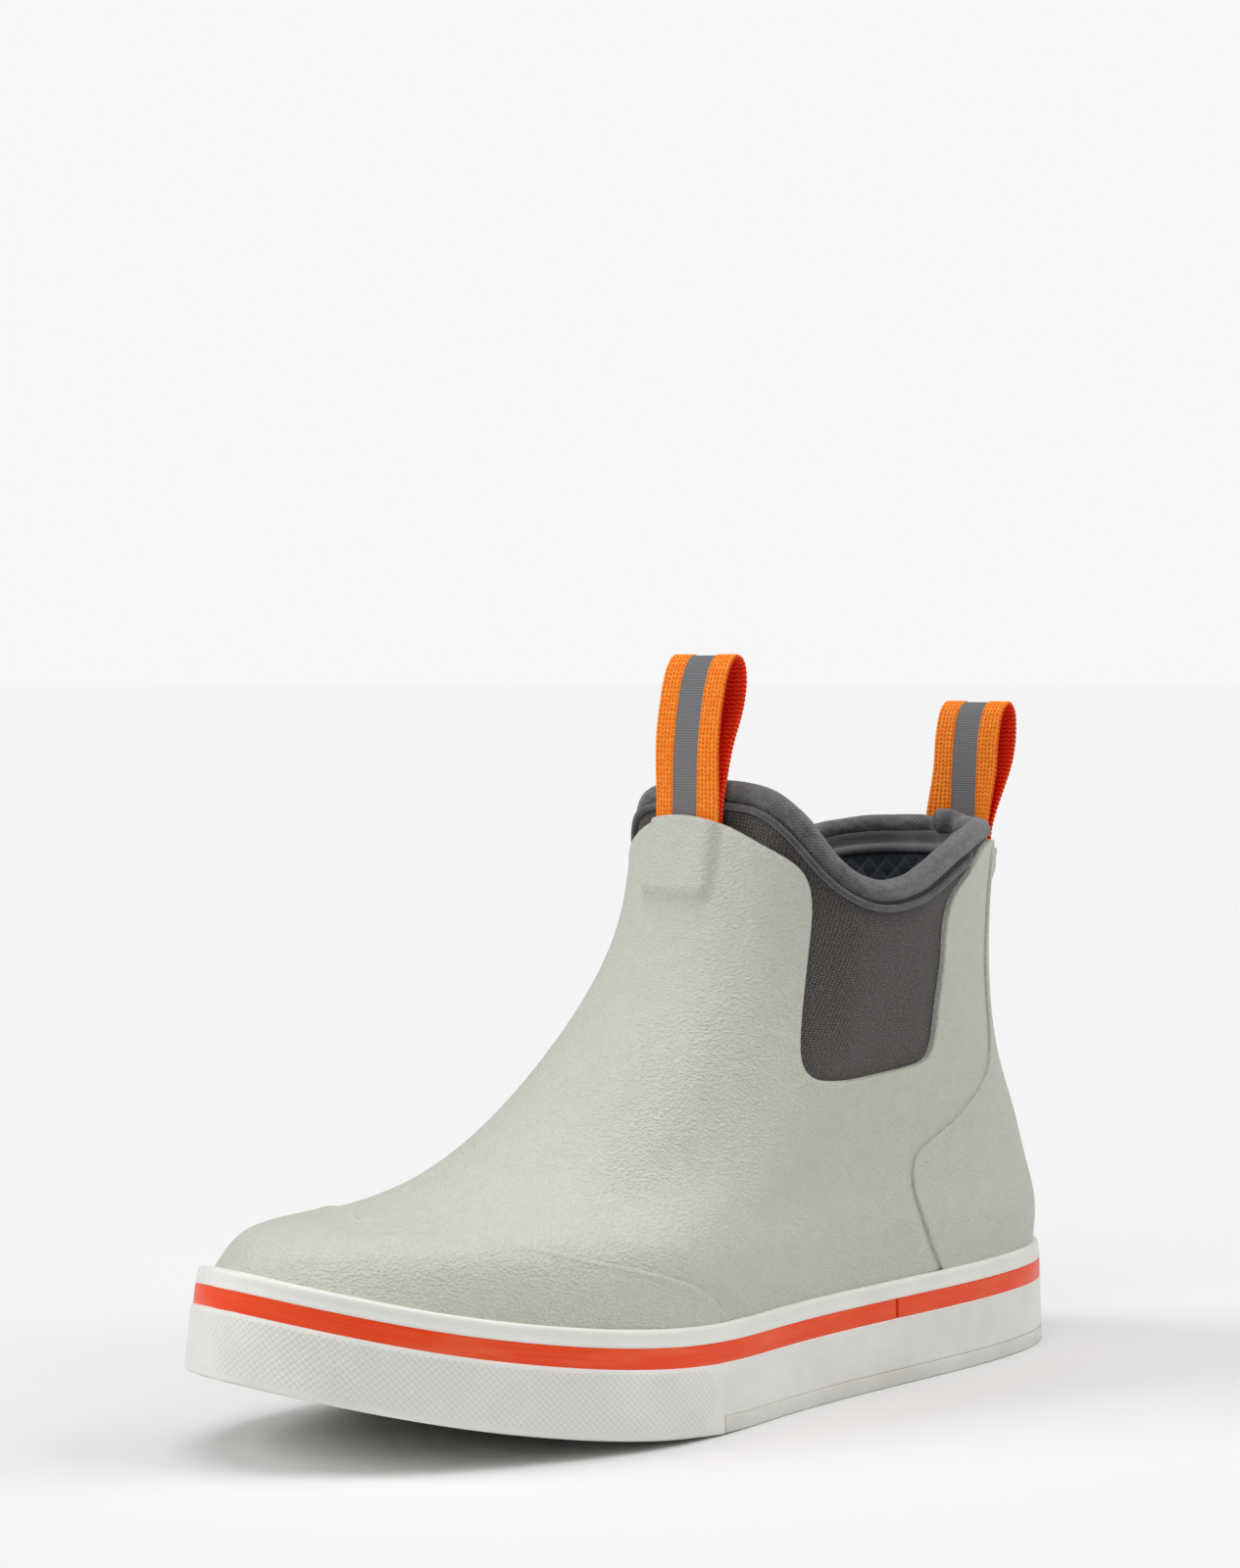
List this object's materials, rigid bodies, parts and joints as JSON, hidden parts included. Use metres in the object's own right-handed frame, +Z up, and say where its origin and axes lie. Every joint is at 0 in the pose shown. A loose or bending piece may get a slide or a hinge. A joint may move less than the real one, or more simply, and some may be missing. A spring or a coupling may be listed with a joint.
{
  "type": "ankle deck boot",
  "caption": "Pull-on ankle deck boot for the left foot: rubber upper over a neoprene bootie, elastic side windows, striped rubber sole wall and hinged webbing pull tabs.",
  "frame": {"origin": "ground under the middle of the outsole's length, on the flat part of the tread, on the heel-to-toe line", "axes": "+X towards the toe, +Y towards the outer (lateral) side of the left foot, +Z up"},
  "size_m": [0.3002, 0.1074, 0.2084],
  "materials": {
    "outsole": "matte moulded rubber, off-white, with cut zigzag grooves",
    "midsole": "hidden sponge rubber filler",
    "insole_board": "hidden fibre board",
    "foxing_tape": "matte off-white vulcanised tape",
    "rear_side_wall": "smooth matte off-white rubber",
    "toe_bumper": "off-white rubber with a raised pebbled texture",
    "stripe_tape": "slightly glossy orange-red rubber tape",
    "rubber_shell": "matte pale sage rubber with a fine leather-like grain",
    "toe_cap": "matte pale sage rubber overlay, fine grain, soft edge",
    "heel_counter": "matte pale sage rubber overlay, fine grain, soft edge",
    "neoprene_bootie": "warm dark-grey knit over neoprene foam, fine horizontal rows",
    "quilted_lining": "dark blue-grey diamond-quilted lining",
    "collar_binding": "brushed grey knit binding, rolled",
    "collar_piping": "grey piping",
    "collar_facing": "dark-grey woven facing band",
    "webbing": "orange basket-weave webbing",
    "tab_stripe": "grey ribbed centre stripe",
    "footbed": "soft foam",
    "footbed_cover": "dark woven cover"
  },
  "bodies": {
    "boot": {"outsole": "outsole", "midsole": "midsole", "insole_board": "insole_board", "foxing_tape": "foxing_tape", "rear_side_wall": "rear_side_wall", "toe_bumper": "toe_bumper", "stripe_tape": "stripe_tape", "rubber_shell": "rubber_shell", "toe_cap": "toe_cap", "heel_counter": "heel_counter", "neoprene_bootie": "neoprene_bootie", "quilted_lining": "quilted_lining", "collar_binding": "collar_binding", "collar_piping": "collar_piping", "collar_facing": "collar_facing", "footbed": "footbed", "footbed_cover": "footbed_cover", "front_tab_tail": "webbing", "rear_tab_tail": "webbing"},
    "front_pull_tab": {"front_tab_loop": "webbing", "front_tab_stripe": "tab_stripe"},
    "rear_pull_tab": {"rear_tab_loop": "webbing", "rear_tab_stripe": "tab_stripe"}
  },
  "joints": [
    {"name": "front_tab_hinge", "type": "hinge", "parent": "boot", "child": "front_pull_tab", "pos_m": [-0.0085, 0, 0.1637], "axis": [0, 1, 0], "range_deg": [0, 75], "stiffness_Nm_per_rad": 0.01},
    {"name": "rear_tab_hinge", "type": "hinge", "parent": "boot", "child": "rear_pull_tab", "pos_m": [-0.12623, 0, 0.1535], "axis": [0, -1, 0], "range_deg": [0, 75], "stiffness_Nm_per_rad": 0.01}
  ]
}
